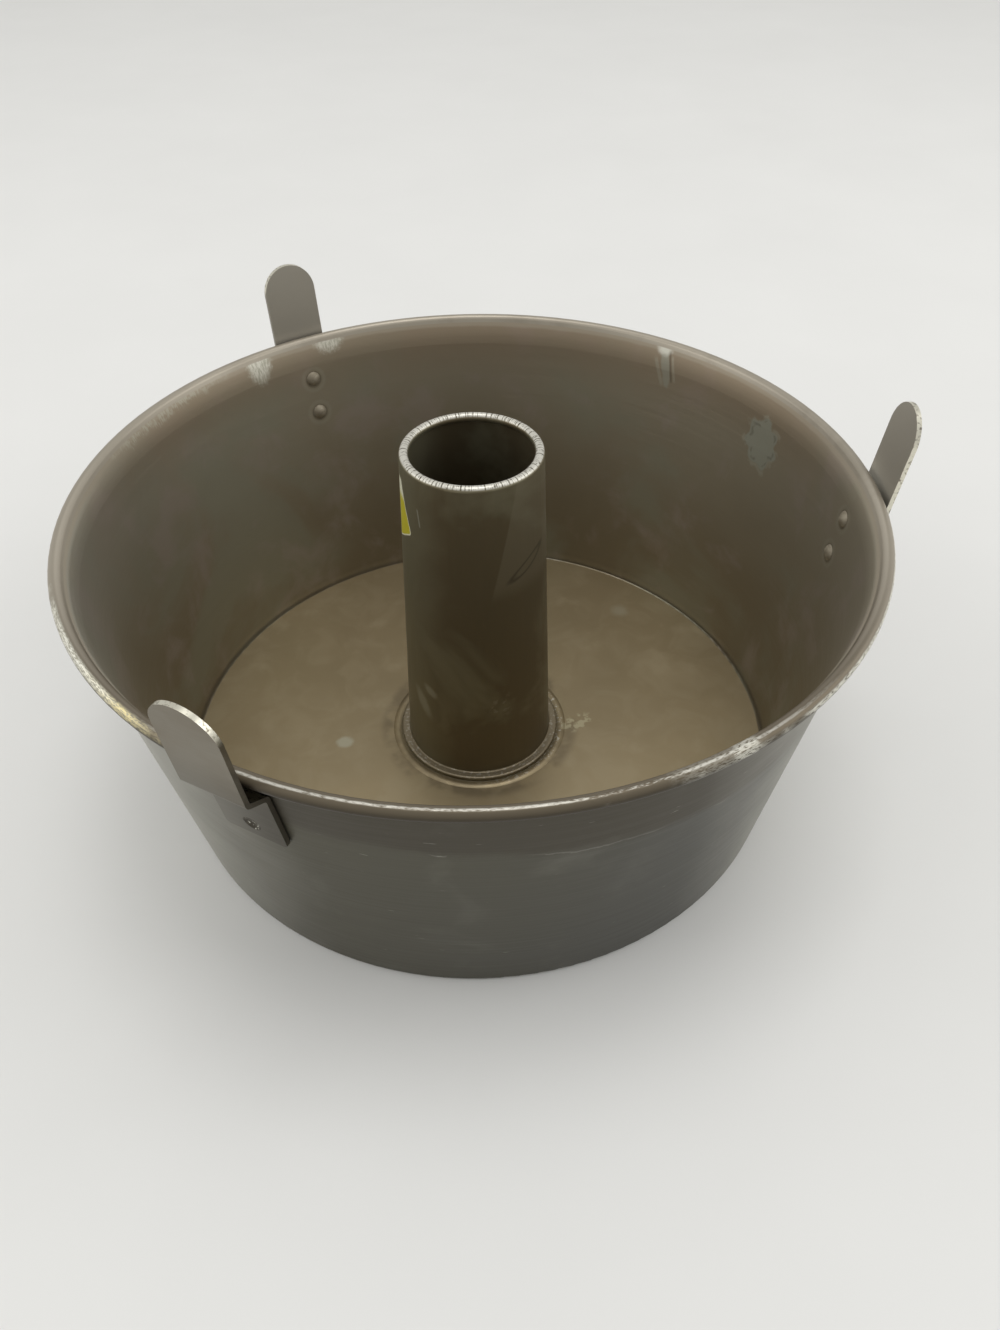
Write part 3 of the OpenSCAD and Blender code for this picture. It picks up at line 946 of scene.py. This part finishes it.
# %% The scrap of paper on the tube
PAPER = seen(176, 166, 30)
PAPER_EDGE = seen(206, 204, 180)
PAPER_AZIMUTH = 205.0
PAPER_LEFT = -7.5
PAPER_RIGHT = 2.6
PAPER_RIGHT_H = 101.5
PAPER_NARROWING = 0.42
PAPER_TOP_H = 117.0
PAPER_FOOT_H = 98.9
PAPER_FOOT_SLOPE = 0.6
PAPER_FOOT_SQUARE = 0.86
PAPER_CORNER = 2.0
PAPER_BACK = (109.5, 113.0)


def paper_scrap(paint, colour, outer):
    """A torn scrap of yellow paper outside, narrow at its top, where its white back shows."""
    sideways, side = paint.across(PAPER_AZIMUTH)
    lean = paint.times(paint.less(paint.z, PAPER_RIGHT_H), PAPER_NARROWING)
    right = paint.less(paint.add(sideways, lean), PAPER_RIGHT)
    slope = paint.times(sideways, PAPER_FOOT_SLOPE)
    foot = paint.times(paint.add(paint.less(PAPER_FOOT_H, paint.z), slope), PAPER_FOOT_SQUARE)
    away = paint.sum("SMOOTH_MAX", right, foot, PAPER_CORNER)
    left = paint.less(PAPER_LEFT, sideways)
    top = paint.less(paint.z, PAPER_TOP_H)
    away = paint.either(away, paint.either(left, top))
    away = paint.wander(away, paint.noise(1.2, seed=81.0), 0.3)
    scrap = paint.times(paint.times(side, outer), paint.step(away, 0.1, -0.1))
    pale = paint.either(paint.step(away, -0.6, -0.2), paint.step(paint.z, *PAPER_BACK))
    return paint.mix(scrap, colour, paint.mix(pale, PAPER, PAPER_EDGE)), scrap


print(f"the paper reaches from about {PAPER_FOOT_H:.0f} to {PAPER_TOP_H:.0f} mm up")

# %% Finish the tube
TUBE_BROWN = seen(117, 106, 83)
TUBE_OLIVE = seen(138, 132, 109)
TUBE_SCRATCH = seen(98, 92, 78)
COLLAR_GREY = seen(138, 127, 106)
TUBE_LEFT = (-8.0, -20.0)
COLLAR_EDGE = (26.2, 26.8)
CROWN_HEIGHTS = (TUBE_H - 2.0, TUBE_H - 1.2)
TUBE_ROUGHNESS = (0.36, 0.5)
PAPER_ROUGHER = 0.3
TUBE_BUMPS = 0.015


def collar_and_crown(paint, colour):
    """Grey with sugar on the collar at the foot, and rubbed silver on the rolled top."""
    collar = paint.step(paint.radius, *COLLAR_EDGE)
    collar = paint.times(collar, paint.step(paint.nz, 0.3, 0.8))
    sugared = paint.tint(COLLAR_GREY, BARE_WHITE, paint.crumbs(), share=0.25)
    colour = paint.mix(collar, colour, sugared)
    scratches = paint.rings(paint.times(paint.angle, TUBE_R), 0.8, seed=7.0, detail=3.0)
    grains = paint.noise(0.9, seed=25.0, detail=2.0)
    worn = paint.step(paint.add(scratches, paint.times(grains, 0.5)), 0.58, 0.74)
    rubbed = paint.mix(worn, TUBE_SCRATCH, SILVER_WEAR_AND_HIGHLIGHT)
    crown = paint.times(paint.step(paint.nz, 0.35, 0.75), paint.step(paint.z, *CROWN_HEIGHTS))
    return paint.mix(crown, colour, rubbed)


def tube_finish():
    """The finish of the centre tube, with its bright rolled top."""
    paint = Finish("drawn_aluminium_tube")
    stain = paint.noise(40.0, seed=21.0, detail=4.0, warp=0.6)
    drawn = paint.noise((1.2, 1.2, 50.0), seed=23.0, detail=3.0)
    olive = paint.step(paint.wander(paint.x, stain, 8.0), *TUBE_LEFT)
    olive = paint.either(olive, paint.step(stain, 0.5, 0.68))
    colour = paint.mix(olive, TUBE_BROWN, TUBE_OLIVE)
    outer = paint.step(paint.outward, 0.0, 0.4)
    colour = paint.mix(outer, colour, tube_marks(paint, tube_panel(paint, colour)))
    colour, scrap = paper_scrap(paint, colour, outer)
    colour = collar_and_crown(paint, colour)
    roughness = paint.scale(drawn, *TUBE_ROUGHNESS)
    roughness = paint.add(roughness, paint.times(scrap, PAPER_ROUGHER))
    metal = paint.times(paint.less(1.0, scrap), METAL)
    return paint.finish(colour, roughness, paint.relief(drawn, TUBE_BUMPS), metal)


dress(tube_finish(), "centre_tube")

# %% [markdown]
# Feet and rivets.
# The feet are rolled sheet, sheared to size, so their faces are dull and their cut edges bright.
# An edge could be picked out by hand, face by face. Here it is told from a face by the way it
# looks: a face looks away from the axis or towards it, and an edge looks sideways or up. The cream
# on an edge is laid only where it faces up or to the front, so it is bare metal and a painted
# highlight. The rivets are smaller than the shell's stains, so they have a finer pattern of their own.

# %% Finish the feet
FOOT_GREY = seen(132, 126, 113)
FOOT_BROWN = seen(122, 113, 98)
FOOT_PALE = seen(187, 182, 171)
EDGE_CREAM_HIGHLIGHT = seen(224, 220, 204)
EDGE_METAL = 1.0
LEFT_TO_RIGHT = (-60.0, 60.0)
FOOT_FLANK_REFLECTION = (52.0, 76.0)
FOOT_BROWNED = (PAN_H + 12.0, PAN_H - 20.0)
FOOT_ROUGHNESS = (0.4, 0.52)
EDGE_SMOOTHER = -0.14
FOOT_BUMPS = 0.012


def foot_colour(paint, stain):
    """Grey and brown outside and paler inside, and below the rim as brown as the shell, with the
    shell's painted pale reflection at the sides.
    """
    colour = paint.mix(paint.step(stain, 0.35, 0.65), FOOT_BROWN, FOOT_GREY)
    inner = paint.step(paint.outward, 0.0, -0.5)
    rightward = paint.scale(paint.step(paint.x, *LEFT_TO_RIGHT), 0.8, 1.0)
    colour = paint.mix(paint.times(inner, rightward), colour, FOOT_PALE)
    low = paint.times(paint.step(paint.z, *FOOT_BROWNED), paint.scale(inner, 1.0, 0.4))
    colour = paint.mix(low, colour, OUTSIDE_BROWN)
    # The shell's painted reflection on its flanks carries on over the lower feet.
    flank_reflection = paint.times(paint.step(paint.from_zero(paint.x), *FOOT_FLANK_REFLECTION), low)
    return paint.tint(colour, OUTSIDE_PALE, flank_reflection, share=0.4)


def foot_finish():
    """The finish of the feet, with bright sheared edges that are a painted highlight where they face up
    or to the front.
    """
    paint = Finish("rolled_aluminium_feet")
    stain = paint.noise(30.0, seed=31.0, detail=4.0)
    rolled = paint.noise((8.0, 8.0, 0.6), seed=33.0)
    edge = paint.step(paint.from_zero(paint.outward), 0.8, 0.5)
    colour = paint.tint(foot_colour(paint, stain), FOOT_GREY, edge, share=0.4)
    nicks = paint.step(paint.noise(1.1, seed=35.0, detail=3.0), 0.28, 0.5)
    # Bare cut edges and a painted highlight: the cream goes only on edges that face up or to the front.
    lit = paint.either(paint.step(paint.nz, 0.0, 0.35), paint.step(paint.ny, -0.6, -0.9))
    bright = paint.times(paint.times(edge, lit), nicks)
    colour = paint.mix(bright, colour, EDGE_CREAM_HIGHLIGHT)
    roughness = paint.scale(rolled, *FOOT_ROUGHNESS)
    roughness = paint.add(roughness, paint.times(edge, EDGE_SMOOTHER))
    metal = paint.scale(edge, METAL, EDGE_METAL)
    return paint.finish(colour, roughness, paint.relief(rolled, FOOT_BUMPS), metal)


dress(foot_finish(), *[f"{side}_foot" for side in FEET])

# %% Finish the rivets
RIVET_BROWN = seen(130, 121, 104)
RIVET_GREY = seen(146, 138, 121)
RIVET_METAL = 0.5
RIVET_ROUGHNESS = (0.5, 0.62)
RIVET_BUMPS = 0.03


def rivet_finish():
    """The finish of the rivets: as brown as the wall, with dirt and bright nicks in the outer dish."""
    paint = Finish("pressed_aluminium_rivets")
    stain = paint.noise(2.0, seed=41.0, detail=4.0)
    colour = paint.mix(paint.step(stain, 0.35, 0.65), RIVET_BROWN, RIVET_GREY)
    outer = paint.step(paint.outward, 0.0, 0.4)
    colour = paint.mix(outer, colour, OUTSIDE_BROWN)
    dirt = paint.step(paint.noise(1.6, seed=43.0, detail=2.0), 0.46, 0.54)
    colour = paint.tint(colour, DARK_LINE_AND_SHADE, paint.times(outer, dirt), share=0.8)
    nicks = paint.step(paint.noise(0.8, seed=44.0, detail=2.0), 0.6, 0.7)
    colour = paint.mix(paint.times(outer, nicks), colour, BARE_WHITE)
    roughness = paint.scale(stain, *RIVET_ROUGHNESS)
    return paint.finish(colour, roughness, paint.relief(stain, RIVET_BUMPS), RIVET_METAL)


dress(rivet_finish(), *[f"{side}_foot_{end}_rivet" for side in FEET for end in ("upper", "lower")])

# %% [markdown]
